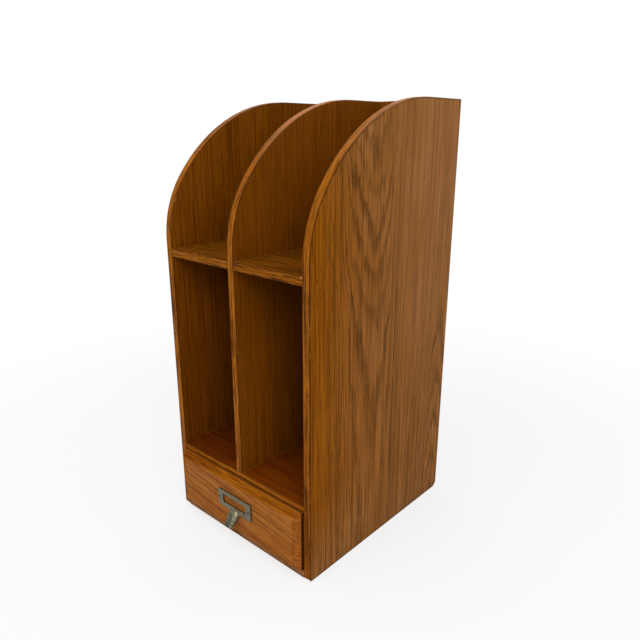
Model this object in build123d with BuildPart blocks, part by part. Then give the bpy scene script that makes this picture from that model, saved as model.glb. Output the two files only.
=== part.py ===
"""Desk-top oak envelope sorter with a drawer, built from its separate boards, strips and metal pieces.

All sizes are in millimetres. +X points to the right seen from the front, +Y to the back and +Z up.
The origin is the centre of the case's underside.
"""

import os
from math import acos, atan, cos, degrees, sin, sqrt

from build123d import *

os.makedirs("parts", exist_ok=True)

HALF_TURN = 180.0
RIGHT_ANGLE = 90.0

# ---- Case -----------------------------------------------------------------------------------------------
CASE_WIDTH = 227.0
CASE_DEPTH = 257.0
CASE_HEIGHT = 508.0
BOARD = 9.5
BAND = 1.0  # wood strip glued over the front, curved and top edges
EASE = 0.4  # radius sanded onto the arrises of the uprights and strips
GROOVE = 3.0  # depth of the grooves and rabbets that hold one board in another

CROWN_RADIUS = 206.0  # large arc of the curved top profile
CROWN_OVERHANG = 16.0  # how far that arc, carried on round, would pass in front of the front edge
SHOULDER_RADIUS = 120.0  # smaller arc that joins it to the straight front edge
FOOT_FRONT_RADIUS = 2.5
FOOT_REAR_RADIUS = 8.0

SHELF_TOP = 342.5
DECK_TOP = 91.0
DECK_BOARD = 6.5

# ---- Drawer ---------------------------------------------------------------------------------------------
DRAWER_SIDE_GAP = 1.4  # between the drawer and the case on each side
DRAWER_TOP_GAP = 0.9  # between the drawer front and the deck
DRAWER_FOOT_GAP = 1.5  # between the drawer front and the bottom board
DRAWER_RUN_GAP = 0.3  # between the drawer sides and the bottom board
DRAWER_STOP_GAP = 0.5  # between the closed drawer and the back panel

FRONT_THICKNESS = 19.0
FRONT_PROUD = 9.5  # how far the drawer front stands out of the case
FRONT_BEVEL = 6.4
FRONT_EASE = 0.5
LAP_DEPTH = 8.0  # length of drawer side that lies in the drawer front's end rabbet
DRAWER_BOARD = 9.5
DRAWER_SIDE_HEIGHT = 70.0
DRAWER_SIDE_EASE = 1.0
DRAWER_PANEL = 4.0
DRAWER_PANEL_RISE = 6.0  # height of the bottom panel above the lower edges of the sides
DRAWER_BACK_INSET = 6.0  # length of drawer side behind the drawer back

# ---- Label pull -----------------------------------------------------------------------------------------
PULL_X = 1.5
PULL_Z = 53.4
PLATE_WIDTH = 57.5
PLATE_HEIGHT = 21.6
PLATE_THICKNESS = 2.2
PLATE_CORNER = 2.6
PLATE_EASE = 0.4
WINDOW_WIDTH = 39.5
WINDOW_HEIGHT = 10.6
WINDOW_CORNER = 1.5
WINDOW_LIFT = 0.6  # how far the window lies above the plate's centre
CARD_SLOT_DEPTH = 1.0
CARD_SLOT_BORDER = 2.0  # how far the card slot reaches past the window at the ends and below

TONGUE_ROOT_HALF = 10.8
TONGUE_NECK_HALF = 7.6
TONGUE_TIP_HALF = 6.2
TONGUE_NECK_DROP = 6.5  # below the plate's lower edge
TONGUE_DROP = 14.0  # below the plate's lower edge
TONGUE_REACH = 12.2  # how far the tip stands out in front of the plate
TONGUE_THICKNESS = 1.8
TONGUE_CROWN = 16.5  # radius across the tongue
TONGUE_CORNER = 2.2
TONGUE_ROOT_RISE = 3.0  # height above the plate's lower edge at which the ridge leaves the plate
TONGUE_HOLD = 4.0  # height above the plate's lower edge to which the tongue is part of the plate
TONGUE_OVERRUN = 6.0  # extra length at each end of the tongue before it is cut to its outline

# ---- Fasteners ------------------------------------------------------------------------------------------
BRAD_RADIUS = 0.7
BRAD_HEAD_RADIUS = 1.1
BRAD_HEAD_LENGTH = 0.8
BRAD_LENGTH = 25.0
FILLER_LENGTH = 1.2
SHELF_BRAD_FRONT = 10.0  # behind the case's front
SHELF_BRAD_REAR = 4.0  # in front of the back panel
BACK_BRAD_X = 55.0
BACK_BRAD_HEIGHTS = (180.0, 270.0, 430.0)
DRAWER_BRAD_HEIGHTS = (30.0, 64.0)

SCREW_SPACING = 50.0
SCREW_RADIUS = 1.1
SCREW_HEAD_RADIUS = 1.7
SCREW_HEAD_DEPTH = 0.9
SCREW_DOME = 0.35
SCREW_LENGTH = 11.0
SCREW_POINT = 2.0
SCREW_SLOT_WIDTH = 0.5
SCREW_SLOT_DEPTH = 0.45
SCREW_SLOT_TURNS = (25.0, 70.0)

# ---- Positions that follow from the sizes above ---------------------------------------------------------
REAR = CASE_DEPTH / 2
FRONT = -REAR
CORE_FRONT = FRONT + BAND
PANEL_FRONT = REAR - BOARD  # front face of the back panel
OUTER = CASE_WIDTH / 2
INNER = OUTER - BOARD
HELD = INNER + GROOVE  # half width of a board that is held in grooves in both sides
HALF_BOARD = BOARD / 2
WEB = HALF_BOARD - GROOVE  # half thickness of the divider between its shelf grooves
SHELF_FOOT = SHELF_TOP - BOARD
DECK_FOOT = DECK_TOP - DECK_BOARD
CROWN_Y = FRONT + CROWN_RADIUS - CROWN_OVERHANG
CROWN_Z = CASE_HEIGHT - CROWN_RADIUS
ARC_GAP = CROWN_RADIUS - SHOULDER_RADIUS  # distance between the two arcs' centres
ARC_SETBACK = ARC_GAP - CROWN_OVERHANG
SHOULDER_Y = FRONT + SHOULDER_RADIUS
SHOULDER_Z = CROWN_Z + sqrt(ARC_GAP**2 - ARC_SETBACK**2)
SHOULDER_TURN = degrees(acos(ARC_SETBACK / ARC_GAP))

DRAWER_OUTER = INNER - DRAWER_SIDE_GAP
DRAWER_INNER = DRAWER_OUTER - DRAWER_BOARD
DRAWER_HELD = DRAWER_INNER + GROOVE
FACE = FRONT - FRONT_PROUD
FRONT_REAR = FACE + FRONT_THICKNESS
FRONT_FOOT = BOARD + DRAWER_FOOT_GAP
FRONT_TOP = DECK_FOOT - DRAWER_TOP_GAP
LAP_FRONT = FRONT_REAR - LAP_DEPTH
DRAWER_REAR = PANEL_FRONT - DRAWER_STOP_GAP
DRAWER_FOOT = BOARD + DRAWER_RUN_GAP
DRAWER_TOP = DRAWER_FOOT + DRAWER_SIDE_HEIGHT
BACK_REAR = DRAWER_REAR - DRAWER_BACK_INSET
BACK_FRONT = BACK_REAR - DRAWER_BOARD
PANEL_FOOT = DRAWER_FOOT + DRAWER_PANEL_RISE
PANEL_TOP = PANEL_FOOT + DRAWER_PANEL

PLATE_FACE = FACE - PLATE_THICKNESS
PLATE_FOOT = PULL_Z - PLATE_HEIGHT / 2
PLATE_TOP = PULL_Z + PLATE_HEIGHT / 2
WINDOW_Z = PULL_Z + WINDOW_LIFT
CARD_SLOT_HALF = WINDOW_WIDTH / 2 + CARD_SLOT_BORDER
CARD_SLOT_FOOT = WINDOW_Z - WINDOW_HEIGHT / 2 - CARD_SLOT_BORDER
TIP_Y = PLATE_FACE - TONGUE_REACH
TIP_Z = PLATE_FOOT - TONGUE_DROP
TONGUE_SLOPE = atan(TONGUE_REACH / (TONGUE_DROP + TONGUE_ROOT_RISE))
TONGUE_LENGTH = (TONGUE_DROP + TONGUE_HOLD) / cos(TONGUE_SLOPE)


def block(x_ends, y_ends, z_ends, mode=Mode.ADD):
    """Add or cut a box given by its two ends along each axis, in either order."""
    ends = (x_ends, y_ends, z_ends)
    middle = [(first + last) / 2 for first, last in ends]
    spans = [abs(last - first) for first, last in ends]
    with Locations(tuple(middle)):
        Box(*spans, mode=mode)


def curved_outline(inset, foot, rear):
    """Draw an upright board's side view, set in from its front, curved and top edges."""
    front = FRONT + inset
    top = CASE_HEIGHT - inset
    with BuildLine() as path:
        Line((front, foot), (front, SHOULDER_Z))
        CenterArc((SHOULDER_Y, SHOULDER_Z), SHOULDER_RADIUS - inset, HALF_TURN, -SHOULDER_TURN)
        CenterArc(
            (CROWN_Y, CROWN_Z), CROWN_RADIUS - inset, HALF_TURN - SHOULDER_TURN, SHOULDER_TURN - RIGHT_ANGLE
        )
        Line((CROWN_Y, top), (rear, top))
        Line((rear, top), (rear, foot))
        Line((rear, foot), (front, foot))
    make_face(path.edges())


def within_strip(x_middle, mode):
    """Keep or cut everything that lies inside the strip on an upright's curved edge."""
    with BuildSketch(Plane.YZ.offset(x_middle)) as inside:
        curved_outline(BAND, -BOARD, REAR + BOARD)
    extrude(inside.sketch, amount=BOARD, both=True, mode=mode)


def side_board(x_middle):
    """Make a side as one whole board, core and strip, with rounded feet and eased arrises."""
    with BuildPart() as board:
        with BuildSketch(Plane.YZ.offset(x_middle - HALF_BOARD)) as outline:
            curved_outline(0, 0, REAR)
            feet = outline.vertices().group_by(Axis.Y)[0].sort_by(Axis.X)
            fillet(feet[0], FOOT_FRONT_RADIUS)
            feet = outline.vertices().group_by(Axis.Y)[0].sort_by(Axis.X)
            fillet(feet[-1], FOOT_REAR_RADIUS)
        extrude(amount=BOARD)
        rims = board.edges().group_by(Axis.X)
        fillet(rims[0] + rims[-1], EASE)
    return board.part


def divider_board():
    """Make the divider above the deck as one whole board with eased arrises."""
    with BuildPart() as board:
        with BuildSketch(Plane.YZ.offset(-HALF_BOARD)):
            curved_outline(0, DECK_TOP, PANEL_FRONT)
        extrude(amount=BOARD)
        rims = board.edges().group_by(Axis.X)
        edges = rims[0] + rims[-1]
        in_view = edges.filter_by(lambda edge: edge.center().Z > DECK_TOP and edge.center().Y < PANEL_FRONT)
        fillet(in_view, EASE)
    return board.part


def side_grooves(side):
    """Cut the grooves and the back rabbet in a side's inner face."""
    depth = (side * INNER, side * HELD)
    depth_of_case = (CORE_FRONT, PANEL_FRONT)
    block(depth, depth_of_case, (SHELF_FOOT, SHELF_TOP), Mode.SUBTRACT)
    block(depth, depth_of_case, (DECK_FOOT, DECK_TOP), Mode.SUBTRACT)
    block(depth, depth_of_case, (0, BOARD), Mode.SUBTRACT)
    back_rabbet(side)


def back_rabbet(side):
    """Cut the rabbet that the back panel's edge lies in."""
    block((side * INNER, side * HELD), (PANEL_FRONT, REAR), (0, CASE_HEIGHT), Mode.SUBTRACT)


def level_strip(x_ends, foot, top):
    """Add the strip on a level board's front edge, with its front arrises eased."""
    block(x_ends, (FRONT, CORE_FRONT), (foot, top))
    fillet(faces().sort_by(Axis.Y)[0].edges().filter_by(Axis.X), EASE)


def rod(head, direction, radius, length):
    """Add a cylinder from the given point along the given direction."""
    with BuildSketch(Plane(origin=head, z_dir=direction)) as section:
        Circle(radius)
    extrude(section.sketch, amount=length)


def brad(head, direction):
    """Add a brad with its head's outer face at the given point."""
    rod(head, direction, BRAD_HEAD_RADIUS, BRAD_HEAD_LENGTH)
    rod(head, direction, BRAD_RADIUS, BRAD_LENGTH)


def save(piece, name):
    """Name a finished piece and write its file."""
    piece.part.label = name
    export_step(piece.part, f"parts/{name}.step")


# ---- Fasteners, made first so that the boards can be cut to them ----------------------------------------
shelf_brad_y = (FRONT + SHELF_BRAD_FRONT, PANEL_FRONT - SHELF_BRAD_REAR)
shelf_brad_z = SHELF_TOP - HALF_BOARD

with BuildPart() as shelf_brads:
    for side in (-1, 1):
        for y in shelf_brad_y:
            brad((side * (OUTER - FILLER_LENGTH), y, shelf_brad_z), (-side, 0, 0))

with BuildPart() as brad_fillers:
    for side in (-1, 1):
        for y in shelf_brad_y:
            rod((side * OUTER, y, shelf_brad_z), (-side, 0, 0), BRAD_HEAD_RADIUS, FILLER_LENGTH)

with BuildPart() as back_panel_brads:
    for z in BACK_BRAD_HEIGHTS:
        brad((0, REAR, z), (0, -1, 0))
    for x in (-BACK_BRAD_X, BACK_BRAD_X):
        for z in (HALF_BOARD, DECK_TOP - DECK_BOARD / 2, shelf_brad_z):
            brad((x, REAR, z), (0, -1, 0))

with BuildPart() as drawer_brads:
    for side in (-1, 1):
        for y in (LAP_FRONT + LAP_DEPTH / 2, BACK_FRONT + DRAWER_BOARD / 2):
            for z in DRAWER_BRAD_HEIGHTS:
                brad((side * DRAWER_OUTER, y, z), (-side, 0, 0))

screw_x = (PULL_X - SCREW_SPACING / 2, PULL_X + SCREW_SPACING / 2)

with BuildPart() as screw_blanks:
    for x in screw_x:
        with BuildSketch(Plane(origin=(x, PLATE_FACE, PULL_Z))):
            with BuildLine():
                Line((0, SCREW_LENGTH), (0, -SCREW_DOME))
                TangentArc((0, -SCREW_DOME), (SCREW_HEAD_RADIUS, 0), tangent=(1, 0))
                Polyline(
                    (SCREW_HEAD_RADIUS, 0),
                    (SCREW_RADIUS, SCREW_HEAD_DEPTH),
                    (SCREW_RADIUS, SCREW_LENGTH - SCREW_POINT),
                    (0, SCREW_LENGTH),
                )
            make_face()
        revolve(axis=Axis((x, PLATE_FACE, PULL_Z), (0, 1, 0)))

with BuildPart() as pull_screws:
    add(screw_blanks.part)
    for x, turn in zip(screw_x, SCREW_SLOT_TURNS):
        with Locations(Location((x, PLATE_FACE - SCREW_DOME, PULL_Z), (0, turn, 0))):
            Box(2 * SCREW_HEAD_RADIUS, 2 * SCREW_SLOT_DEPTH, SCREW_SLOT_WIDTH, mode=Mode.SUBTRACT)

# ---- Case -----------------------------------------------------------------------------------------------
SIDE_MIDDLE = INNER + HALF_BOARD
left_board = side_board(-SIDE_MIDDLE)
right_board = side_board(SIDE_MIDDLE)
middle_board = divider_board()

with BuildPart() as left_side:
    add(left_board)
    within_strip(-SIDE_MIDDLE, Mode.INTERSECT)
    side_grooves(-1)
    add(shelf_brads.part, mode=Mode.SUBTRACT)
    add(brad_fillers.part, mode=Mode.SUBTRACT)

with BuildPart() as right_side:
    add(right_board)
    within_strip(SIDE_MIDDLE, Mode.INTERSECT)
    side_grooves(1)
    add(shelf_brads.part, mode=Mode.SUBTRACT)
    add(brad_fillers.part, mode=Mode.SUBTRACT)

with BuildPart() as left_side_edge_band:
    add(left_board)
    within_strip(-SIDE_MIDDLE, Mode.SUBTRACT)
    back_rabbet(-1)

with BuildPart() as right_side_edge_band:
    add(right_board)
    within_strip(SIDE_MIDDLE, Mode.SUBTRACT)
    back_rabbet(1)

with BuildPart() as center_divider:
    add(middle_board)
    within_strip(0, Mode.INTERSECT)
    block((-HALF_BOARD, HALF_BOARD), (CORE_FRONT, PANEL_FRONT), (DECK_TOP - GROOVE, DECK_TOP))
    for side in (-1, 1):
        shelf_ends = (side * WEB, side * HALF_BOARD)
        block(shelf_ends, (CORE_FRONT, PANEL_FRONT), (SHELF_FOOT, SHELF_TOP), Mode.SUBTRACT)
    add(back_panel_brads.part, mode=Mode.SUBTRACT)

with BuildPart() as divider_edge_band:
    add(middle_board)
    within_strip(0, Mode.SUBTRACT)

with BuildPart() as back_panel:
    block((-HELD, HELD), (PANEL_FRONT, REAR), (0, CASE_HEIGHT))
    fillet(back_panel.faces().sort_by(Axis.Z)[-1].edges().filter_by(Axis.X), EASE)
    add(back_panel_brads.part, mode=Mode.SUBTRACT)

with BuildPart() as upper_shelf_left:
    block((-HELD, -WEB), (CORE_FRONT, PANEL_FRONT), (SHELF_FOOT, SHELF_TOP))
    add(shelf_brads.part, mode=Mode.SUBTRACT)
    add(back_panel_brads.part, mode=Mode.SUBTRACT)

with BuildPart() as upper_shelf_right:
    block((WEB, HELD), (CORE_FRONT, PANEL_FRONT), (SHELF_FOOT, SHELF_TOP))
    add(shelf_brads.part, mode=Mode.SUBTRACT)
    add(back_panel_brads.part, mode=Mode.SUBTRACT)

with BuildPart() as drawer_deck:
    block((-HELD, HELD), (CORE_FRONT, PANEL_FRONT), (DECK_FOOT, DECK_TOP))
    block((-HALF_BOARD, HALF_BOARD), (CORE_FRONT, PANEL_FRONT), (DECK_TOP - GROOVE, DECK_TOP), Mode.SUBTRACT)
    add(back_panel_brads.part, mode=Mode.SUBTRACT)

with BuildPart() as bottom_board:
    block((-HELD, HELD), (CORE_FRONT, PANEL_FRONT), (0, BOARD))
    add(back_panel_brads.part, mode=Mode.SUBTRACT)

with BuildPart() as left_shelf_edge_band:
    level_strip((-INNER, -HALF_BOARD), SHELF_FOOT, SHELF_TOP)

with BuildPart() as right_shelf_edge_band:
    level_strip((HALF_BOARD, INNER), SHELF_FOOT, SHELF_TOP)

with BuildPart() as deck_edge_band:
    level_strip((-INNER, INNER), DECK_FOOT, DECK_TOP)

with BuildPart() as bottom_edge_band:
    level_strip((-INNER, INNER), 0, BOARD)

# ---- Drawer ---------------------------------------------------------------------------------------------
with BuildPart() as drawer_front:
    block((-DRAWER_OUTER, DRAWER_OUTER), (FACE, FRONT_REAR), (FRONT_FOOT, FRONT_TOP))
    chamfer(drawer_front.faces().sort_by(Axis.Y)[0].edges(), FRONT_BEVEL)
    fillet(drawer_front.faces().sort_by(Axis.Y)[0].edges(), FRONT_EASE)
    for side in (-1, 1):
        rabbet = (side * DRAWER_INNER, side * DRAWER_OUTER)
        block(rabbet, (LAP_FRONT, FRONT_REAR), (FRONT_FOOT, FRONT_TOP), Mode.SUBTRACT)
    panel_groove = (FRONT_REAR - GROOVE, FRONT_REAR)
    block((-DRAWER_INNER, DRAWER_INNER), panel_groove, (PANEL_FOOT, PANEL_TOP), Mode.SUBTRACT)
    add(drawer_brads.part, mode=Mode.SUBTRACT)
    add(screw_blanks.part, mode=Mode.SUBTRACT)


def drawer_side(side):
    """Add a drawer side with its grooves for the bottom panel and the drawer back."""
    block((side * DRAWER_INNER, side * DRAWER_OUTER), (LAP_FRONT, DRAWER_REAR), (DRAWER_FOOT, DRAWER_TOP))
    fillet(faces().sort_by(Axis.Z)[-1].edges().filter_by(Axis.Y), DRAWER_SIDE_EASE)
    depth = (side * DRAWER_INNER, side * DRAWER_HELD)
    block(depth, (FRONT_REAR - GROOVE, DRAWER_REAR), (PANEL_FOOT, PANEL_TOP), Mode.SUBTRACT)
    block(depth, (BACK_FRONT, BACK_REAR), (PANEL_TOP, DRAWER_TOP), Mode.SUBTRACT)
    add(drawer_brads.part, mode=Mode.SUBTRACT)


with BuildPart() as drawer_left_side:
    drawer_side(-1)

with BuildPart() as drawer_right_side:
    drawer_side(1)

with BuildPart() as drawer_back:
    block((-DRAWER_HELD, DRAWER_HELD), (BACK_FRONT, BACK_REAR), (PANEL_TOP, DRAWER_TOP))
    add(drawer_brads.part, mode=Mode.SUBTRACT)

with BuildPart() as drawer_bottom:
    block((-DRAWER_HELD, DRAWER_HELD), (FRONT_REAR, BACK_REAR), (PANEL_FOOT, PANEL_TOP))
    block((-DRAWER_INNER, DRAWER_INNER), (FRONT_REAR - GROOVE, FRONT_REAR), (PANEL_FOOT, PANEL_TOP))

# ---- Label pull -----------------------------------------------------------------------------------------
with BuildPart() as tongue:
    slope = Plane(
        origin=(PULL_X, TIP_Y, TIP_Z), x_dir=(1, 0, 0), z_dir=(0, sin(TONGUE_SLOPE), cos(TONGUE_SLOPE))
    )
    with BuildSketch(slope.offset(-TONGUE_OVERRUN)):
        with Locations((0, TONGUE_CROWN)):
            Circle(TONGUE_CROWN)
            Circle(TONGUE_CROWN - TONGUE_THICKNESS, mode=Mode.SUBTRACT)
        Rectangle(2 * TONGUE_CROWN, TONGUE_CROWN, mode=Mode.INTERSECT)
    extrude(amount=TONGUE_LENGTH + 2 * TONGUE_OVERRUN)
    with BuildSketch(Plane.XZ.offset(-FACE)) as outline:
        with BuildLine():
            hold = (PULL_X + TONGUE_ROOT_HALF, PLATE_FOOT + TONGUE_HOLD)
            root = (PULL_X + TONGUE_ROOT_HALF, PLATE_FOOT)
            turn = (PULL_X + TONGUE_NECK_HALF, PLATE_FOOT)
            neck = (PULL_X + TONGUE_NECK_HALF, PLATE_FOOT - TONGUE_NECK_DROP)
            tip = (PULL_X + TONGUE_TIP_HALF, TIP_Z)
            Line((PULL_X, PLATE_FOOT + TONGUE_HOLD), hold)
            Line(hold, root)
            Bezier(root, turn, neck)
            Line(neck, tip)
            Line(tip, (PULL_X, TIP_Z))
            mirror(about=Plane.YZ.offset(PULL_X))
        make_face()
        fillet(outline.vertices().group_by(Axis.Y)[0], TONGUE_CORNER)
    extrude(amount=PLATE_THICKNESS + TONGUE_REACH + TONGUE_OVERRUN, mode=Mode.INTERSECT)

with BuildPart() as label_pull:
    with BuildSketch(Plane.XZ.offset(-FACE)):
        with Locations((PULL_X, PULL_Z)):
            RectangleRounded(PLATE_WIDTH, PLATE_HEIGHT, PLATE_CORNER)
        with Locations((PULL_X, WINDOW_Z)):
            RectangleRounded(WINDOW_WIDTH, WINDOW_HEIGHT, WINDOW_CORNER, mode=Mode.SUBTRACT)
    extrude(amount=PLATE_THICKNESS)
    fillet(label_pull.faces().sort_by(Axis.Y)[0].edges(), PLATE_EASE)
    add(tongue.part)
    card_slot = (PULL_X - CARD_SLOT_HALF, PULL_X + CARD_SLOT_HALF)
    block(card_slot, (FACE - CARD_SLOT_DEPTH, FACE), (CARD_SLOT_FOOT, PLATE_TOP), Mode.SUBTRACT)
    add(screw_blanks.part, mode=Mode.SUBTRACT)

# ---- Files ----------------------------------------------------------------------------------------------
save(left_side, "left_side")
save(right_side, "right_side")
save(center_divider, "center_divider")
save(back_panel, "back_panel")
save(upper_shelf_left, "upper_shelf_left")
save(upper_shelf_right, "upper_shelf_right")
save(drawer_deck, "drawer_deck")
save(bottom_board, "bottom_board")
save(left_side_edge_band, "left_side_edge_band")
save(right_side_edge_band, "right_side_edge_band")
save(divider_edge_band, "divider_edge_band")
save(left_shelf_edge_band, "left_shelf_edge_band")
save(right_shelf_edge_band, "right_shelf_edge_band")
save(deck_edge_band, "deck_edge_band")
save(bottom_edge_band, "bottom_edge_band")
save(shelf_brads, "shelf_brads")
save(brad_fillers, "brad_fillers")
save(back_panel_brads, "back_panel_brads")
save(drawer_front, "drawer_front")
save(drawer_left_side, "drawer_left_side")
save(drawer_right_side, "drawer_right_side")
save(drawer_back, "drawer_back")
save(drawer_bottom, "drawer_bottom")
save(drawer_brads, "drawer_brads")
save(label_pull, "label_pull")
save(pull_screws, "pull_screws")
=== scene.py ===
"""Looks of an oak envelope sorter with a drawer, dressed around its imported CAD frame.

Lengths are in metres, except in the finishes, whose patterns are given in millimetres. +X points to the right
seen from the front, +Y to the back and +Z up, and the origin is the centre of the case's underside.
"""

from __future__ import annotations

import logging
import math
from dataclasses import dataclass, field
from enum import Enum

import bmesh
import bpy
from mathutils import Matrix, Vector

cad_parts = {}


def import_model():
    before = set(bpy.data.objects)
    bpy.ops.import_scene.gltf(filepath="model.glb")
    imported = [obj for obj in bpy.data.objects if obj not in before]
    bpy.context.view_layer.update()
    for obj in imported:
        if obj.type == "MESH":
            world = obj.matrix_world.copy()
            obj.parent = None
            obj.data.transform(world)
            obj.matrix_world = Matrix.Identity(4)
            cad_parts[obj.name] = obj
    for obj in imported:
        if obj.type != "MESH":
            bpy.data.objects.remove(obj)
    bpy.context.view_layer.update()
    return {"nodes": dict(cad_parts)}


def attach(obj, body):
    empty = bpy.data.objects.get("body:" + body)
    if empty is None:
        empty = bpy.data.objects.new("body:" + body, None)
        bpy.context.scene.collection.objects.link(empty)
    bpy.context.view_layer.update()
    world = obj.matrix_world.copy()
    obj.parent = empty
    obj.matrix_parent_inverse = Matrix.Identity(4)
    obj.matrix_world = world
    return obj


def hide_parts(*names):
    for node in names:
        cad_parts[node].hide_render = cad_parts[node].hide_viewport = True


LOG = logging.getLogger("envelope_sorter")
MM = 0.001

Colour = tuple[int, int, int]


def linear(colour: Colour) -> tuple[float, float, float, float]:
    """Turn a screen colour into the linear one that shaders take.

    Args:
        colour: Red, green and blue from 0 to 255.

    Returns:
        Linear red, green and blue from 0 to 1, with full alpha.
    """

    def channel(value: int) -> float:
        """Straighten one channel."""
        share = value / 255
        return share / 12.92 if share <= 0.04045 else ((share + 0.055) / 1.055) ** 2.4

    red, green, blue = colour
    return channel(red), channel(green), channel(blue), 1.0


# ---- Shader maths ----------------------------------------------------------------------------------------


class Signal:
    """A value in a material's node tree, on which arithmetic adds Math nodes."""

    def __init__(self, tree: NodeTree, socket: bpy.types.NodeSocket) -> None:
        """Wrap an output socket of the given tree."""
        self.tree = tree
        self.socket = socket

    def math(self, operation: str, *others: Signal | float, first: Signal | float | None = None) -> Signal:
        """Add a Math node.

        Args:
            operation: The node's operation.
            others: The values of the sockets after the first.
            first: What goes into the first socket in place of this value.

        Returns:
            The node's result.
        """
        lead = self if first is None else first
        values = {index: value for index, value in enumerate((lead, *others))}
        return self.tree.signal("ShaderNodeMath", {"operation": operation}, values)

    def __add__(self, other: Signal | float) -> Signal:
        """Add."""
        return self.math("ADD", other)

    def __radd__(self, other: float) -> Signal:
        """Add to a number."""
        return self.math("ADD", other)

    def __sub__(self, other: Signal | float) -> Signal:
        """Subtract."""
        return self.math("SUBTRACT", other)

    def __rsub__(self, other: float) -> Signal:
        """Subtract from a number."""
        return self.math("SUBTRACT", self, first=other)

    def __mul__(self, other: Signal | float) -> Signal:
        """Multiply."""
        return self.math("MULTIPLY", other)

    def __rmul__(self, other: float) -> Signal:
        """Multiply a number."""
        return self.math("MULTIPLY", other)

    def __truediv__(self, other: Signal | float) -> Signal:
        """Divide."""
        return self.math("DIVIDE", other)

    def __abs__(self) -> Signal:
        """Drop the sign."""
        return self.math("ABSOLUTE")

    def above(self, limit: float) -> Signal:
        """Give 1 where the value is above the limit and 0 elsewhere."""
        return self.math("GREATER_THAN", limit)

    def least(self, other: Signal | float) -> Signal:
        """Give the smaller of two values."""
        return self.math("MINIMUM", other)

    def most(self, other: Signal | float) -> Signal:
        """Give the larger of two values."""
        return self.math("MAXIMUM", other)

    def rise(self, low: float, high: float) -> Signal:
        """Give a smooth step from 0 at low to 1 at high; with low above high it falls instead."""
        settings = {"interpolation_type": "SMOOTHSTEP"}
        if low > high:
            return 1 - self.rise(high, low)
        return self.tree.signal("ShaderNodeMapRange", settings, {"Value": self, "From Min": low, "From Max": high})


class NodeTree:
    """A material's node tree that starts empty."""

    def __init__(self, name: str) -> None:
        """Make the material."""
        self.material = bpy.data.materials.new(name)
        self.material.use_nodes = True
        self.nodes = self.material.node_tree.nodes
        self.links = self.material.node_tree.links
        self.nodes.clear()

    def node(self, kind: str, settings: dict[str, object] | None = None, values: dict | None = None) -> bpy.types.Node:
        """Add a node.

        Args:
            kind: The node's type.
            settings: Its properties, set first. "stops" gives a colour ramp's (position, colour) pairs.
            values: What goes into its sockets, by name or number: a number, a colour, a Signal or a socket.

        Returns:
            The node.
        """
        node = self.nodes.new(kind)
        for name, setting in (settings or {}).items():
            if name == "stops":
                self._fill_ramp(node.color_ramp, setting)
            else:
                setattr(node, name, setting)
        for key, value in (values or {}).items():
            socket = node.inputs[key]
            if isinstance(value, Signal):
                self.links.new(value.socket, socket)
            elif isinstance(value, bpy.types.NodeSocket):
                self.links.new(value, socket)
            else:
                socket.default_value = value
        return node

    @staticmethod
    def _fill_ramp(ramp: bpy.types.ColorRamp, stops: list[tuple[float, tuple]]) -> None:
        """Set a colour ramp's stops."""
        while len(ramp.elements) < len(stops):
            ramp.elements.new(1.0)
        for element, (position, colour) in zip(ramp.elements, stops):
            element.position = position
            element.color = colour

    def signal(self, kind: str, settings: dict[str, object] | None, values: dict, output: int | str = 0) -> Signal:
        """Add a node and give one of its outputs."""
        return Signal(self, self.node(kind, settings, values).outputs[output])

    def noise(self, point: Signal, scale: float, detail: float = 2.0, roughness: float = 0.5) -> Signal:
        """Add a noise texture and give its value, which is mostly from 0.3 to 0.7."""
        values = {"Vector": point, "Scale": scale, "Detail": detail, "Roughness": roughness}
        return self.signal("ShaderNodeTexNoise", {"noise_dimensions": "3D"}, values)

    def point(self, x: Signal | float, y: Signal | float, z: Signal | float) -> Signal:
        """Join three values into a point."""
        return self.signal("ShaderNodeCombineXYZ", None, {0: x, 1: y, 2: z})

    def place(self) -> tuple[Signal, Signal, Signal]:
        """Give the place on the object in millimetres, as three values."""
        place = self.node("ShaderNodeTexCoord").outputs["Object"]
        scaled = self.signal("ShaderNodeVectorMath", {"operation": "SCALE"}, {0: place, "Scale": 1 / MM})
        split = self.node("ShaderNodeSeparateXYZ", None, {0: scaled})
        x, y, z = (Signal(self, output) for output in split.outputs)
        return x, y, z

    def mix(self, factor: Signal | float, first: object, second: object, blend: str = "MIX") -> Signal:
        """Mix two colours.

        Args:
            factor: Share of the second colour.
            first: A colour or a Signal.
            second: A colour or a Signal.
            blend: The node's blend type.

        Returns:
            The mixed colour.
        """
        settings = {"data_type": "RGBA", "blend_type": blend}
        # On a colour Mix node, sockets 0, 6 and 7 are the factor and the two colours.
        return self.signal("ShaderNodeMix", settings, {0: factor, 6: first, 7: second}, 2)

    def choose(self, mask: Signal, first: Signal | float, second: Signal | float) -> Signal:
        """Give the first value where the mask is 0 and the second where it is 1."""
        return self.signal("ShaderNodeMix", {"data_type": "FLOAT"}, {0: mask, 2: first, 3: second})

    def surface(self, shader: bpy.types.Node) -> bpy.types.Material:
        """Send a shader to the material's output and give the material."""
        self.node("ShaderNodeOutputMaterial", None, {"Surface": shader.outputs[0]})
        return self.material


# ---- Finishes --------------------------------------------------------------------------------------------


class Run(Enum):
    """The direction in which a board's fibres run, as the order of (across, depth, along) among x, y and z."""

    UP_ON_SIDE = (1, 0, 2)
    UP_ON_BACK = (0, 1, 2)
    LEVEL_TOP = (1, 2, 0)
    LEVEL_FRONT = (2, 1, 0)
    BACKWARD = (2, 0, 1)


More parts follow.
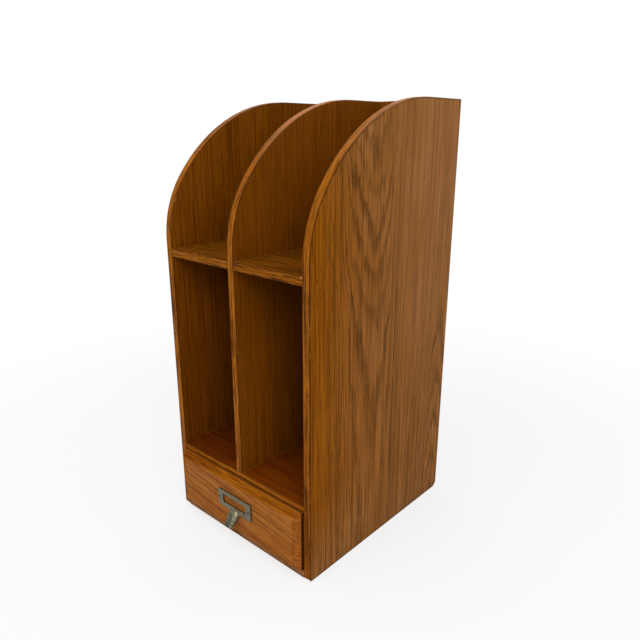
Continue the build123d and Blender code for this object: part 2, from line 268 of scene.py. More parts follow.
@dataclass(frozen=True)
class Figure:
    """The growth rings that one sheet of veneer shows, as nested arches on an axis or as straight lines."""

    axis: float = -400.0  # place of the arches' middle across the board
    drift: float = 0.0  # how far the axis moves across per length along the board
    density: float = 0.36  # rings per millimetre far from the axis
    core: float = 25.0  # half width of the arches, inside which the rings are sparse
    soft: float = 16.0  # width over which sparse rings turn to dense ones
    sparse: float = 0.2  # share of the density that is left inside the arches
    lean: float = 0.0  # how much narrower the arches are on the high side than on the low one
    end: float = 0.0  # place along the board where the arches start
    way: float = 1.0  # 1 where the arches point towards high values along the board, -1 where they point to low
    pace: float = 0.0  # arches per millimetre at the start
    reach: float = 240.0  # length over which the arches thin out

    def phase(self, tree: NodeTree, across: Signal, along: Signal) -> tuple[Signal, Signal]:
        """Give the number of rings from the axis, and how far inside the arches each place is."""
        offset = across - self.axis
        if self.drift:
            offset = offset - along * self.drift
        span = abs(offset)
        if self.lean:
            span = span + offset * self.lean
        beyond = (span - self.core).most(0.0)
        rings = ((beyond * beyond + self.soft**2).math("SQRT") - self.soft) * self.density
        rings = rings + ((span * span + 144.0).math("SQRT") - 12.0) * (self.density * self.sparse)
        arch = span.rise(self.core + self.soft, self.core)
        if self.pace:
            run = (along - self.end) * (self.way / self.reach)
            rings = rings + run.math("TANH") * (self.pace * self.reach)
            arch = arch * run.rise(1.5, 0.6) * run.rise(0.0, 0.4)
        return rings, arch


@dataclass(frozen=True)
class Sheets:
    """One or two sheets of veneer side by side, with a seam between them."""

    first: Figure
    second: Figure | None = None
    seam: float = 0.0

    def phase(self, tree: NodeTree, across: Signal, along: Signal) -> tuple[Signal, Signal]:
        """Give the ring count of the sheet at each place, and how far inside its arches the place is."""
        first = self.first.phase(tree, across, along)
        if self.second is None:
            return first
        second = self.second.phase(tree, across, along)
        beyond = across.above(self.seam)
        return tree.choose(beyond, first[0], second[0]), tree.choose(beyond, first[1], second[1])


@dataclass(frozen=True)
class Zone:
    """A patch of another tone, bounded by planes along the axes or by its depth below the curved edge."""

    tone: Colour
    strength: float = 1.0
    x: tuple[float, float] | None = None
    y: tuple[float, float] | None = None
    z: tuple[float, float] | None = None
    rim: tuple[float, float] | None = None
    soft: float = 0.4  # width over which the patch fades
    soft_x: float = 0.3  # the same for its bounds along x
    broken: float = 0.0  # share of the patch that is missing, in specks
    grit: tuple[float, float, float] = (0.25, 0.25, 0.25)  # how fine the specks are along each axis
    blend: str = "MIX"

    def over(self, tree: NodeTree, colour: Signal, seed: float) -> Signal:
        """Lay the patch over a colour."""
        place = tree.place()
        mask = None
        softs = (self.soft_x, self.soft, self.soft)
        limits = [group for group in zip(place, (self.x, self.y, self.z), softs) if group[1] is not None]
        if self.rim is not None:
            limits.append((profile_depth(tree), self.rim, self.soft))
        for value, (low, high), soft in limits:
            inside = value.rise(low - soft, low + soft) * value.rise(high + soft, high - soft)
            mask = inside if mask is None else mask * inside
        if self.broken:
            x, y, z = place
            fine_x, fine_y, fine_z = self.grit
            specks = tree.noise(tree.point(x * fine_x + seed, y * fine_y, z * fine_z), 1.0, 3.0, 0.6)
            middle = 0.3 + 0.4 * self.broken
            mask = mask * specks.rise(middle - 0.03, middle + 0.03)
        return tree.mix(mask * self.strength, colour, linear(self.tone), self.blend)


FRONT = -128.5  # the case's front edge, in millimetres
SHOULDER = (-8.5, 351.96, 120.0)  # centre and radius of the arc that leaves the front edge
CROWN = (61.5, 302.0, 206.0)  # centre and radius of the arc that reaches the top
TOP = 508.0


def profile_depth(tree: NodeTree) -> Signal:
    """Give how far a place on an upright lies below its curved edge, in millimetres."""
    _, y, z = tree.place()

    def below_arc(arc: tuple[float, float, float]) -> Signal:
        """Give the depth below one arc."""
        middle_y, middle_z, radius = arc
        from_y, from_z = y - middle_y, z - middle_z
        return radius - (from_y * from_y + from_z * from_z).math("SQRT")

    turn_y, turn_z = SHOULDER[0] - CROWN[0], SHOULDER[1] - CROWN[1]
    past_turn = ((z - CROWN[1]) * -turn_y + (y - CROWN[0]) * turn_z).above(0.0)
    on_arcs = tree.choose(past_turn, below_arc(SHOULDER), below_arc(CROWN))
    on_top = tree.choose((y - CROWN[0]).above(0.0), on_arcs, TOP - z)
    return tree.choose((z - SHOULDER[1]).above(0.0), y - FRONT, on_top)


@dataclass(frozen=True)
class Stain:
    """The colours that a stained board shows, from its palest wood to its pores."""

    pale: Colour
    middle: Colour
    ring: Colour
    pore: Colour
    warm: Colour


@dataclass(frozen=True)
class Oak:
    """Stained and lacquered oak, with rings, pores, streaks and cloudy tone."""

    name: str
    run: Run
    stain: Stain
    outer: Sheets = Sheets(Figure())
    inner: Sheets | None = None
    inner_stain: Stain | None = None
    split: float = 0.0  # depth coordinate that parts the inner sheet from the outer one
    outer_is_high: bool = True
    zones: tuple[Zone, ...] = ()
    seed: float = 0.0
    tilt: float = 0.0  # slant of the fibres from the board's length
    fine: float = 1.0  # how much finer the fibres are than in the coarsest board
    crisp: float = 1.0  # how much sharper the streaks are than in the softest board
    pores: float = 1.0
    rings: float = 1.0
    roughness: float = 0.4
    gloss: float = 0.03
    relief: float = 0.15

    def material(self) -> bpy.types.Material:
        """Build the finish's material."""
        tree = NodeTree(self.name)
        place = tree.place()
        across, depth, along = (place[index] for index in self.run.value)
        if self.tilt:
            across = across + along * self.tilt
        wander = tree.noise(tree.point(across * 0.012, depth * 0.012 + self.seed, along * 0.006), 1.0, 2.0) - 0.5
        flutter = tree.noise(tree.point(across * 0.07, depth * 0.07 + self.seed, along * 0.02), 1.0, 3.0, 0.6) - 0.5
        ragged = tree.noise(tree.point(across * 0.4, depth * 0.4 + self.seed, along * 0.02), 1.0, 3.0, 0.6) - 0.5
        surge = tree.noise(tree.point(across * 0.03, depth * 0.03 + self.seed, along * 0.012), 1.0, 1.0) - 0.5
        moved = across + wander * 20 + flutter * 3.5
        slid = along + ragged * 50 + surge * 70
        phase, arch = self.outer.phase(tree, moved, slid)
        inside = None
        if self.inner is not None:
            inside = depth.above(self.split)
            if self.outer_is_high:
                inside = 1 - inside
            inner_phase, inner_arch = self.inner.phase(tree, moved, slid)
            phase, arch = tree.choose(inside, phase, inner_phase), tree.choose(inside, arch, inner_arch)
        band = phase.math("FRACT")
        count = {"W": phase.math("FLOOR") + self.seed}
        strength = tree.signal("ShaderNodeTexWhiteNoise", {"noise_dimensions": "1D"}, count).rise(-0.2, 1.1)
        early = band.rise(0.65, 0.25) * band.rise(0.0, 0.12) * (strength * 0.7 + arch * 0.5)

        thin = 0.6 * self.fine
        fibre = tree.point(across * thin, depth * thin + self.seed, along * 0.045)
        pore = tree.noise(fibre, 1.0, 3.0, 0.65).rise(0.46, 0.6)
        wide = 0.36 * self.fine
        streak = tree.noise(tree.point(across * wide, depth * wide + self.seed, along * 0.005), 1.0, 3.0, 0.65)
        cloud = tree.noise(tree.point(across * 0.014, depth * 0.014 + self.seed, along * 0.01), 1.0, 2.0)

        dark = (early * 0.75 + 0.25) * pore * self.pores
        colour = self._tones(tree, self.stain, streak, cloud, early, dark)
        if inside is not None and self.inner_stain is not None:
            colour = tree.mix(inside, colour, self._tones(tree, self.inner_stain, streak, cloud, early, dark))
        for index, zone in enumerate(self.zones):
            colour = zone.over(tree, colour, self.seed + 13.0 * index)
        height = (early * 0.5 + 0.5) * pore * -1.0 + streak * 0.3
        bump = tree.node("ShaderNodeBump", None, {"Strength": self.relief, "Distance": 0.1 * MM, "Height": height})
        shader = tree.node(
            "ShaderNodeBsdfPrincipled",
            None,
            {
                "Base Color": colour,
                "Roughness": dark * 0.2 + self.roughness + (cloud - 0.5) * 0.15,
                "Specular IOR Level": self.gloss,
                "Normal": bump.outputs[0],
            },
        )
        return tree.surface(shader)

    def _tones(
        self, tree: NodeTree, stain: Stain, streak: Signal, cloud: Signal, early: Signal, dark: Signal
    ) -> Signal:
        """Give the board's colour from its masks."""
        half = 0.13 / self.crisp
        base = tree.mix(streak.rise(0.49 - half, 0.49 + half), linear(stain.middle), linear(stain.pale))
        base = tree.mix(cloud.rise(0.35, 0.7) * 0.6, base, linear(stain.warm))
        base = tree.mix(streak.rise(0.48, 0.48 - 0.12 / self.crisp) * 0.55, base, linear(stain.ring))
        base = tree.mix(early * 0.75 * self.rings, base, linear(stain.ring))
        return tree.mix(dark.least(1.0) * 0.8, base, linear(stain.pore))


@dataclass(frozen=True)
class Strip:
    """Thin wood strip glued over an edge: its streaks follow the edge wherever it bends."""

    name: str
    run: Run
    pale: Colour
    middle: Colour
    dark: Colour
    across_middle: float
    half_width: float = 4.75
    seed: float = 0.0
    roughness: float = 0.38
    wear: Colour = (158, 98, 42)
    zones: tuple[Zone, ...] = ()

    def material(self) -> bpy.types.Material:
        """Build the finish's material."""
        tree = NodeTree(self.name)
        place = tree.place()
        across, depth, along = (place[index] for index in self.run.value)
        slow = 0.02
        streak = tree.noise(tree.point(across * 0.6, depth * slow + self.seed, along * slow), 1.0, 3.0, 0.6)
        pore = tree.noise(tree.point(across * 1.6, depth * 0.07 + self.seed, along * 0.07), 1.0, 2.0, 0.6).rise(0.5, 0.64)
        patch = tree.noise(tree.point(across * 0.05, depth * 0.03 + self.seed, along * 0.03), 1.0, 2.0)
        edge = abs(across - self.across_middle).rise(self.half_width - 0.9, self.half_width - 0.3)
        scuff = tree.noise(tree.point(across * 0.3, depth * 0.12 + self.seed, along * 0.12), 1.0, 4.0, 0.7)
        colour = tree.mix(streak.rise(0.4, 0.6), linear(self.pale), linear(self.middle))
        colour = tree.mix(streak.rise(0.5, 0.6) * patch.rise(0.3, 0.55) * 0.9, colour, linear(self.dark))
        colour = tree.mix(pore * 0.7, colour, linear(self.dark))
        colour = tree.mix(edge * scuff.rise(0.32, 0.42) * 0.9, colour, linear(self.dark))
        colour = tree.mix(edge * scuff.rise(0.6, 0.68) * 0.8, colour, linear(self.wear))
        for index, zone in enumerate(self.zones):
            colour = zone.over(tree, colour, self.seed + 13.0 * index)
        height = pore * -1.0 + scuff * 0.4
        bump = tree.node("ShaderNodeBump", None, {"Strength": 0.15, "Distance": 0.1 * MM, "Height": height})
        shader = tree.node(
            "ShaderNodeBsdfPrincipled",
            None,
            {
                "Base Color": colour,
                "Roughness": pore * 0.2 + self.roughness,
                "Specular IOR Level": 0.02,
                "Normal": bump.outputs[0],
            },
        )
        return tree.surface(shader)


@dataclass(frozen=True)
class AgedMetal:
    """Cast or drawn metal gone dull, with patchy tarnish."""

    name: str
    bright: Colour
    dull: Colour
    grime: Colour
    roughness: float = 0.42
    metallic: float = 0.85
    scale: float = 0.35
    relief: float = 0.25
    gloss: float = 0.5
    zones: tuple[Zone, ...] = ()

    def material(self) -> bpy.types.Material:
        """Build the finish's material."""
        tree = NodeTree(self.name)
        x, y, z = tree.place()
        point = tree.point(x, y, z)
        patch = tree.noise(point, self.scale, 4.0, 0.62)
        speck = tree.noise(point, self.scale * 7, 3.0, 0.6)
        colour = tree.mix(patch.rise(0.35, 0.65), linear(self.bright), linear(self.dull))
        colour = tree.mix(speck.rise(0.56, 0.74) * 0.6, colour, linear(self.grime))
        for zone in self.zones:
            colour = zone.over(tree, colour, 0.0)
        bump = tree.node(
            "ShaderNodeBump",
            None,
            {"Strength": self.relief, "Distance": 0.06 * MM, "Height": patch * 0.6 + speck * 0.4},
        )
        shader = tree.node(
            "ShaderNodeBsdfPrincipled",
            None,
            {
                "Base Color": colour,
                "Metallic": (self.metallic - speck.rise(0.5, 0.7) * 0.25).most(0.0),
                "Roughness": self.roughness + patch.rise(0.4, 0.65) * 0.12,
                "Specular IOR Level": self.gloss,
                "Normal": bump.outputs[0],
            },
        )
        return tree.surface(shader)


def dress(node: bpy.types.Object, material: bpy.types.Material) -> None:
    """Give a CAD node one material all over."""
    if not node.material_slots:
        node.data.materials.append(material)
    for slot in node.material_slots:
        slot.material = material
    LOG.info("dressed %s with %s", node.name, material.name)


UPRIGHT = (0.6, 0.6, 0.03)  # grit of streaks that run upwards
END_GRAIN = (0.25, 0.1, 0.55)  # grit of streaks across the front's right bevel
SHELF_GRAIN = (0.02, 0.16, 0.16)
LEVEL = (0.03, 0.9, 0.9)  # grit of streaks that run from left to right
ANY = (0.08, 0.08, 0.08)
@dataclass(frozen=True)
class Chip:
    """A corner that is broken off: all of a board beyond a plane is missing."""

    spot: tuple[float, float, float]  # a point on the break, in millimetres
    facing: tuple[float, float, float]

    def cut(self, shape: bmesh.types.BMesh) -> None:
        """Break the corner off a mesh and close it."""
        everything = [*shape.verts, *shape.edges, *shape.faces]
        spot, facing = Vector(self.spot) * MM, Vector(self.facing)
        cut = bmesh.ops.bisect_plane(shape, geom=everything, plane_co=spot, plane_no=facing, clear_outer=True)
        rim = [item for item in cut["geom_cut"] if isinstance(item, bmesh.types.BMEdge)]
        bmesh.ops.edgeloop_fill(shape, edges=rim)
        bmesh.ops.recalc_face_normals(shape, faces=shape.faces)


def soften(
    node: bpy.types.Object, body: str, width: float, chips: tuple[Chip, ...] = ()
) -> bpy.types.Object:
    """Put a copy with rounded arrises in the place of a CAD node.

    Args:
        node: The CAD node.
        body: The body that the copy moves with.
        width: How far each arris is rounded, in millimetres.
        chips: Corners that are broken off.

    Returns:
        The copy.
    """
    shape = bmesh.new()
    shape.from_mesh(node.data)
    bmesh.ops.remove_doubles(shape, verts=shape.verts, dist=0.001 * MM)
    bmesh.ops.dissolve_limit(shape, angle_limit=math.radians(1), verts=shape.verts, edges=shape.edges)
    for chip in chips:
        chip.cut(shape)
    arrises = [edge for edge in shape.edges if edge.calc_face_angle(0.0) > math.radians(35)]
    bmesh.ops.bevel(
        shape,
        geom=arrises,
        affect="EDGES",
        offset=width * MM,
        segments=2,
        profile=0.5,
        clamp_overlap=True,
        material=-1,
    )
    for face in shape.faces:
        face.smooth = True
    mesh = bpy.data.meshes.new(f"{node.name}_worn")
    shape.to_mesh(mesh)
    shape.free()
    piece = bpy.data.objects.new(f"{node.name}_worn", mesh)
    bpy.context.scene.collection.objects.link(piece)
    evened = piece.modifiers.new("evened_normals", "WEIGHTED_NORMAL")
    evened.keep_sharp = True
    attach(piece, body)
    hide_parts(node.name)
    LOG.info("softened %s", node.name)
    return piece


SIDE_STAIN = Stain(pale=(148, 97, 52), middle=(129, 81, 36), ring=(96, 60, 22), pore=(64, 38, 12), warm=(128, 78, 22))
# Inner faces: darker and more saturated than the outer stain, partly the wood's own tone and partly painted shade
# inside the case.
INNER_STAIN_AND_SHADE = Stain(pale=(128, 71, 10), middle=(110, 57, 5), ring=(88, 45, 3), pore=(56, 28, 0), warm=(112, 60, 2))
DECK_STAIN = Stain(pale=(118, 54, 6), middle=(104, 45, 3), ring=(86, 36, 2), pore=(60, 24, 0), warm=(108, 50, 4))
SHELF_STAIN = Stain(pale=(118, 68, 12), middle=(104, 57, 6), ring=(82, 42, 3), pore=(60, 30, 0), warm=(108, 60, 4))
JOINT = (40, 20, 4)


@dataclass
class Case:
    """The fixed case: two sides, divider, back, shelves, deck, bottom and their strips."""

    inner: float = 104.0  # half width between the sides, in millimetres
    board: float = 9.5
    wear: float = 0.35  # rounding of the strips' arrises
    nodes: dict[str, bpy.types.Object] = field(default_factory=dict)

    def dress(self) -> None:
        """Give each board and strip its finish."""
        middle = self.inner + self.board / 2
        straight = Sheets(Figure(axis=-260, density=0.45))
        right = Oak(
            name="oak_right_side",
            run=Run.UP_ON_SIDE,
            stain=SIDE_STAIN,
            outer=Sheets(
                Figure(axis=-20, drift=-0.02, core=32, sparse=0.15, lean=0.15, end=500, way=-1, pace=0.03, reach=230),
                Figure(axis=112, core=14, sparse=0.3, end=40, way=1, pace=0.018, reach=260),
                seam=13.5,
            ),
            inner=straight,
            inner_stain=INNER_STAIN_AND_SHADE,
            split=middle,
            zones=(
                # Painted sheen: the outer face is deeper and more saturated at the front and middle, and paler at the
                # rear, a painted reflection of the backdrop.
                Zone((238, 210, 16), 0.95, y=(-240, -66), x=(middle, 130), z=(40, 450), soft=60, blend="MULTIPLY"),
                Zone((250, 232, 180), 0.35, y=(-60, 30), x=(middle, 130), z=(90, 390), soft=60, blend="MULTIPLY"),
                Zone((166, 116, 76), 0.22, y=(0, 260), x=(middle, 130), z=(200, 700), soft=90),
                Zone((88, 56, 36), 0.22, y=(20, 260), x=(middle, 130), z=(-60, 22), soft=35),
                Zone((50, 32, 12), 0.9, y=(12.9, 14.3), x=(middle, 130), z=(65, 335), soft=0.4, broken=0.4, grit=UPRIGHT),
                Zone(JOINT, 0.75, rim=(0.9, 1.5), soft=0.25, broken=0.25, grit=ANY),
                Zone((64, 36, 12), 0.6, z=(-5, 1.6), soft=1.2),
                Zone((58, 34, 14), 0.6, y=(127.4, 140), soft=0.5),
            ),
            fine=1.3,
            crisp=2.8,
            rings=0.9,
            seed=3.1,
            gloss=0.012,
        )
        left = Oak(
            name="oak_left_side",
            run=Run.UP_ON_SIDE,
            stain=SIDE_STAIN,
            outer=Sheets(
                Figure(axis=34, density=0.36, end=508, way=-1, pace=0.03),
                Figure(axis=-180),
                seam=80,
            ),
            inner=straight,
            inner_stain=INNER_STAIN_AND_SHADE,
            split=-middle,
            outer_is_high=False,
            zones=(
                # Painted shade, a little redder, on the inner face between the deck and the shelf.
                Zone((228, 216, 216), 0.6, x=(-middle, -90), z=(60, 330), soft=20, blend="MULTIPLY"),
                Zone(JOINT, 0.75, x=(-130, -middle), rim=(0.9, 1.5), soft=0.25, broken=0.25, grit=ANY),
                Zone((64, 36, 12), 0.6, z=(-5, 1.6), soft=1.2),
                Zone((58, 34, 14), 0.6, y=(127.4, 140), soft=0.5),
            ),
            fine=1.3,
            crisp=1.8,
            rings=0.8,
            seed=17.7,
            gloss=0.012,
        )
        divider = Oak(
            name="oak_divider",
            run=Run.UP_ON_SIDE,
            stain=INNER_STAIN_AND_SHADE,
            outer=Sheets(Figure(axis=-260, density=0.55)),
            fine=1.6,
            rings=0.5,
            seed=29.3,
        )
        back = Oak(
            name="oak_back",
            run=Run.UP_ON_BACK,
            stain=SIDE_STAIN,
            outer=Sheets(Figure(axis=12, end=0, pace=0.03), Figure(axis=-150), seam=70),
            inner=Sheets(Figure(axis=-240, density=0.25)),
            inner_stain=INNER_STAIN_AND_SHADE,
            split=120.0,
            seed=41.9,
        )
        dress(self.nodes["right_side"], right.material())
        dress(self.nodes["left_side"], left.material())
        dress(self.nodes["center_divider"], divider.material())
        dress(self.nodes["back_panel"], back.material())
        for index, name in enumerate(("upper_shelf_left", "upper_shelf_right")):
            shelf = Oak(
                name=f"oak_{name}",
                run=Run.LEVEL_TOP,
                stain=SHELF_STAIN,
                outer=Sheets(Figure(axis=-250 + 40 * index, density=0.2)),
                zones=(
                    Zone((168, 116, 50), 0.6, x=(-104, -103.1), z=(340, 345), soft=0.3, broken=0.3, grit=ANY),
                    Zone((168, 116, 50), 0.6, x=(4.7, 5.7), z=(340, 345), soft=0.3, broken=0.3, grit=ANY),
                    Zone((66, 34, 2), 0.6, z=(340, 345), soft=0.4, broken=0.6, grit=SHELF_GRAIN),
                ),
                seed=53.0 + 7 * index,
            )
            dress(self.nodes[name], shelf.material())
        for name, seed in (("drawer_deck", 71.0), ("bottom_board", 83.0)):
            level = Oak(
                name=f"oak_{name}",
                run=Run.LEVEL_TOP,
                stain=DECK_STAIN,
                outer=Sheets(Figure(axis=-300, density=0.15)),
                zones=(
                    # Painted shade on the left half of the deck's top, the floor of the left bay.
                    Zone((205, 195, 185), 0.7, x=(-120, -20), z=(88, 92), soft_x=20, blend="MULTIPLY"),
                    Zone((160, 100, 40), 0.6, x=(-104, -103.1), z=(88, 92), soft=0.3, broken=0.3, grit=ANY),
                    Zone((160, 100, 40), 0.6, x=(4.7, 5.7), z=(88, 92), soft=0.3, broken=0.3, grit=ANY),
                ),
                seed=seed,
                gloss=0.06,
            )
            dress(self.nodes[name], level.material())
        self._dress_strips(middle)

    def _dress_strips(self, middle: float) -> None:
        """Give the strips on the edges their finishes."""
        # Upright strips: name, middle across, seed and strength of the painted highlight on the curved top.
        uprights = (
            ("left_side_edge_band", -middle, 5.0, 0.1),
            ("divider_edge_band", 0.0, 15.0, 0.45),
            ("right_side_edge_band", middle, 25.0, 0.25),
        )
        for name, across, seed, top_highlight in uprights:
            strip = Strip(
                name=f"strip_{name}",
                run=Run.UP_ON_BACK,
                pale=(150, 88, 20),
                middle=(126, 70, 12),
                dark=(72, 36, 6),
                across_middle=across,
                seed=seed,
                zones=(
                    # Painted highlight on the curved top, where the strip faces up to the lamps.
                    Zone((192, 132, 84), top_highlight, z=(470, 600), soft=40),
                    Zone((228, 220, 215), 0.8, x=(100, 120), z=(-60, 190), soft=60, blend="MULTIPLY"),
                ),
            )
            dress(soften(self.nodes[name], "case", self.wear), strip.material())
        shelf, deck, bottom = (
            ((138, 80, 16), (112, 60, 8), (64, 32, 4)),
            ((148, 84, 8), (110, 56, 2), (60, 28, 0)),
            # The bottom strip's pale, pink tones: partly its own colour, partly a painted reflection of the floor.
            ((150, 104, 66), (134, 86, 48), (86, 48, 24)),
        )
        broken = Chip(spot=(103.2, -128.1, 341.7), facing=(1, -1, 1))
        raw = Zone((186, 128, 70), 0.6, x=(101.9, 105), y=(-130, -127.6), z=(340.4, 345), soft=0.25)
        lit = Zone((172, 100, 30), 0.22, x=(-10, 130), z=(86, 95), soft_x=25, soft=0.6)
        levels = (
            ("left_shelf_edge_band", 337.75, 4.75, 35.0, shelf, (), ()),
            ("right_shelf_edge_band", 337.75, 4.75, 45.0, shelf, (raw,), (broken,)),
            ("deck_edge_band", 87.75, 3.25, 55.0, deck, (lit,), ()),
            ("bottom_edge_band", 4.75, 4.75, 65.0, bottom, (), ()),
        )
        for name, across, half, seed, (pale, plain, dark), zones, chips in levels:
            strip = Strip(
                name=f"strip_{name}",
                run=Run.LEVEL_FRONT,
                pale=pale,
                middle=plain,
                dark=dark,
                across_middle=across,
                half_width=half,
                seed=seed,
                zones=zones,
            )
            dress(soften(self.nodes[name], "case", self.wear, chips), strip.material())
        filler = AgedMetal("wood_filler", (72, 42, 16), (56, 32, 12), (40, 22, 8), 0.6, 0.0, 0.8, gloss=0.05)
        steel = AgedMetal("brad_steel", (140, 138, 134), (112, 110, 106), (70, 66, 62), 0.4, 0.9, 0.8)
        dress(self.nodes["brad_fillers"], filler.material())
        steel_material = steel.material()
        for name in ("shelf_brads", "back_panel_brads", "drawer_brads"):
            dress(self.nodes[name], steel_material)


@dataclass
class Drawer:
    """The drawer: bevelled front, box and label pull."""

    wear: float = 0.7  # rounding of the front's arrises, in millimetres
    cast_edge: float = 0.4  # rounding of the pull's edges
    nodes: dict[str, bpy.types.Object] = field(default_factory=dict)

    def dress(self) -> None:
        """Give the drawer's pieces their finishes."""
        front_stain = Stain(
            pale=(160, 100, 42), middle=(142, 84, 28), ring=(102, 51, 12), pore=(74, 36, 8), warm=(146, 82, 12)
        )
        front = Oak(
            name="oak_drawer_front",
            run=Run.LEVEL_FRONT,
            stain=front_stain,
            outer=Sheets(Figure(axis=-60, density=0.17)),
            tilt=0.12,
            pores=1.3,
            rings=0.8,
            zones=(
                Zone((150, 84, 0), 0.8, z=(77.3, 90), y=(-140, -131.4), soft=0.3),
                Zone((92, 44, 2), 0.7, z=(78.2, 83), y=(-140, -131.4), soft=0.6, broken=0.42, grit=LEVEL),
                Zone(
                    (224, 206, 120), 0.9, x=(-130, -45), z=(77.3, 90), y=(-140, -131.4), soft_x=20, blend="MULTIPLY"
                ),
                Zone((146, 78, 28), 0.5, x=(96.4, 110), y=(-140, -131.4), soft=0.3),
                Zone((92, 42, 12), 0.45, x=(96.4, 110), y=(-140, -131.4), soft=0.3, broken=0.55, grit=END_GRAIN),
                # Painted shade on the front's right side, where it stands in the gap beside the case.
                Zone((42, 21, 8), 0.9, x=(102.3, 110), y=(-131.3, -100), soft=0.2),
                Zone((208, 160, 100), 0.6, x=(95.2, 97.2), y=(-138.4, -136.9), z=(76.3, 78.2), soft=0.25),
                # Painted shade on the front's top face, in the gap under the deck.
                Zone((84, 42, 8), 0.6, z=(83.2, 90), y=(-131.0, -100), soft=0.2),
                Zone((70, 34, 8), 0.6, x=(95.6, 96.6), y=(-140, -137), soft=0.4, broken=0.2, grit=ANY),
                Zone((70, 34, 8), 0.5, z=(76.5, 77.4), y=(-140, -137), soft=0.4, broken=0.4, grit=LEVEL),
            ),
            seed=97.0,
        )
        nick = Chip(spot=(96.03, -137.43, 77.03), facing=(0.7, -2.4, 0.7))
        dress(soften(self.nodes["drawer_front"], "drawer", self.wear, (nick,)), front.material())
        box_stain = Stain(
            pale=(196, 158, 110), middle=(180, 140, 92), ring=(160, 120, 76), pore=(130, 94, 58), warm=(186, 142, 90)
        )
        for name, run, seed in (
            ("drawer_left_side", Run.BACKWARD, 101.0),
            ("drawer_right_side", Run.BACKWARD, 107.0),
            ("drawer_back", Run.LEVEL_FRONT, 113.0),
            ("drawer_bottom", Run.LEVEL_TOP, 127.0),
        ):
            board = Oak(
                name=f"wood_{name}",
                run=run,
                stain=box_stain,
                outer=Sheets(Figure(axis=-90, density=0.2)),
                seed=seed,
                roughness=0.55,
                gloss=0.15,
            )
            dress(self.nodes[name], board.material())
        greyed = Zone((212, 216, 220), 0.8, y=(-170, -141.2), z=(-10, 42), soft=0.8, blend="MULTIPLY")
        # Painted shade on the lower part of the tongue.
        tongue_low_shade = Zone((160, 166, 170), 0.8, y=(-170, -141.5), z=(-10, 33), soft=4, blend="MULTIPLY")
        brass = AgedMetal(
            "pull_brass", (120, 114, 92), (86, 80, 62), (50, 42, 28), roughness=0.26, zones=(greyed, tongue_low_shade)
        )
        dark = AgedMetal("screw_brass", (86, 84, 70), (60, 58, 46), (36, 32, 24), 0.5, 0.8, 0.9)
        dress(soften(self.nodes["label_pull"], "drawer", self.cast_edge), brass.material())
        dress(self.nodes["pull_screws"], dark.material())


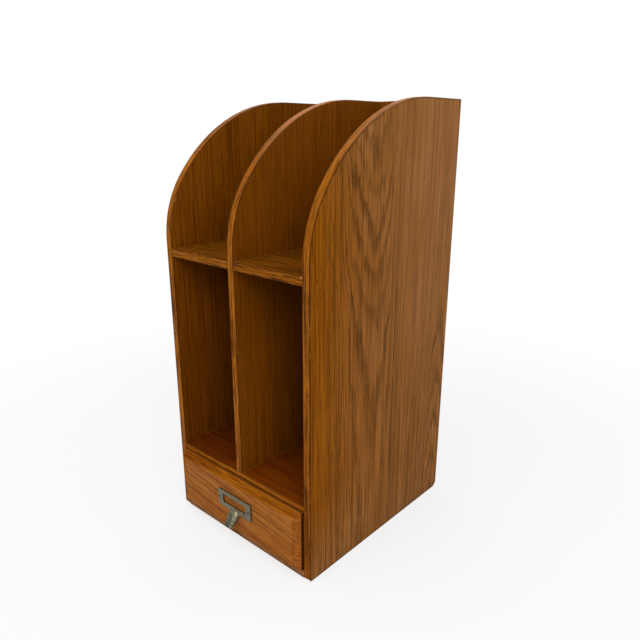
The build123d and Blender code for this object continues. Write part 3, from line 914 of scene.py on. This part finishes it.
@dataclass
class Studio:
    """Pale floor, soft lamps, white surroundings and the camera."""

    floor_half: float = 6.0
    floor_drop: float = 0.0004
    surround: float = 0.62  # strength of the surroundings for everything but what the camera sees

    def build(self) -> None:
        """Set up the whole studio."""
        self._floor()
        self._world()
        self._lamps()
        self._camera()
        bpy.context.scene.view_settings.view_transform = "Standard"

    def _floor(self) -> None:
        """Lay the floor, which looks white and keeps the object's shadow."""
        mesh = bpy.data.meshes.new("floor")
        shape = bmesh.new()
        bmesh.ops.create_grid(shape, x_segments=1, y_segments=1, size=self.floor_half)
        bmesh.ops.translate(shape, verts=shape.verts, vec=(0, 0, -self.floor_drop))
        shape.to_mesh(mesh)
        shape.free()
        floor = bpy.data.objects.new("floor", mesh)
        bpy.context.scene.collection.objects.link(floor)
        tree = NodeTree("studio_floor")
        x, y, _ = tree.place()
        far = (x * x + y * y).math("SQRT").rise(350.0, 900.0)
        pale = tree.node("ShaderNodeBsdfDiffuse", None, {"Color": linear((228, 228, 228))})
        glow = tree.node("ShaderNodeEmission", None, {"Color": (1, 1, 1, 1), "Strength": 1.0})
        path = tree.node("ShaderNodeLightPath")
        seen = Signal(tree, path.outputs["Is Camera Ray"]).most(Signal(tree, path.outputs["Is Glossy Ray"]))
        seen = seen.most(Signal(tree, path.outputs["Is Transmission Ray"]))
        share = seen * tree.choose(far, 0.72, 1.0)
        mixed = tree.node("ShaderNodeMixShader", None, {0: share, 1: pale.outputs[0], 2: glow.outputs[0]})
        mesh.materials.append(tree.surface(mixed))

    def _world(self) -> None:
        """Make the surroundings white to the camera and softer to the object."""
        world = bpy.data.worlds.new("studio")
        bpy.context.scene.world = world
        world.use_nodes = True
        nodes, links = world.node_tree.nodes, world.node_tree.links
        nodes.clear()
        path = nodes.new("ShaderNodeLightPath")
        first = nodes.new("ShaderNodeMath")
        first.operation = "MAXIMUM"
        links.new(path.outputs["Is Camera Ray"], first.inputs[0])
        links.new(path.outputs["Is Glossy Ray"], first.inputs[1])
        second = nodes.new("ShaderNodeMath")
        second.operation = "MAXIMUM"
        links.new(first.outputs[0], second.inputs[0])
        links.new(path.outputs["Is Transmission Ray"], second.inputs[1])
        soft = nodes.new("ShaderNodeBackground")
        soft.inputs["Color"].default_value = (1, 1, 1, 1)
        soft.inputs["Strength"].default_value = self.surround
        white = nodes.new("ShaderNodeBackground")
        white.inputs["Color"].default_value = (1, 1, 1, 1)
        white.inputs["Strength"].default_value = 1.0
        mixed = nodes.new("ShaderNodeMixShader")
        links.new(second.outputs[0], mixed.inputs[0])
        links.new(soft.outputs[0], mixed.inputs[1])
        links.new(white.outputs[0], mixed.inputs[2])
        output = nodes.new("ShaderNodeOutputWorld")
        links.new(mixed.outputs[0], output.inputs["Surface"])

    def _lamps(self) -> None:
        """Hang the soft lamps."""
        target = Vector((0.0, 0.0, 0.25))
        for name, place, size, power in (
            ("key_lamp", Vector((1.7, -1.3, 1.7)), 1.4, 30.0),
            ("front_lamp", Vector((-0.4, -2.2, 1.3)), 0.9, 10.0),
            ("top_lamp", Vector((0.0, -0.2, 2.4)), 1.6, 16.0),
        ):
            lamp = bpy.data.lights.new(name, "AREA")
            lamp.shape = "SQUARE"
            lamp.size = size
            lamp.energy = power
            lamp_object = bpy.data.objects.new(name, lamp)
            lamp_object.location = place
            lamp_object.rotation_euler = (target - place).to_track_quat("-Z", "Y").to_euler()
            bpy.context.scene.collection.objects.link(lamp_object)

    def _camera(self) -> None:
        """Place the camera at the photograph's viewpoint."""
        camera = bpy.data.cameras.new("camera")
        camera.sensor_width = 36.0
        camera.lens = 33.667
        camera.clip_start = 0.01
        camera_object = bpy.data.objects.new("camera", camera)
        right = Vector((0.743776, 0.668426, 0.001963))
        down = Vector((0.202808, -0.222869, -0.953519))
        forward = Vector((-0.636920, 0.709602, -0.301326))
        turn = Matrix((right, -down, -forward)).transposed().to_4x4()
        camera_object.matrix_world = Matrix.Translation((0.48166, -0.52395, 0.47292)) @ turn
        bpy.context.scene.collection.objects.link(camera_object)
        bpy.context.scene.camera = camera_object


def main() -> None:
    """Build and dress the object and its studio."""
    logging.basicConfig(level=logging.INFO, format="%(name)s: %(message)s")
    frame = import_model()
    Studio().build()
    Case(nodes=frame["nodes"]).dress()
    Drawer(nodes=frame["nodes"]).dress()


if __name__ == "__main__":
    main()
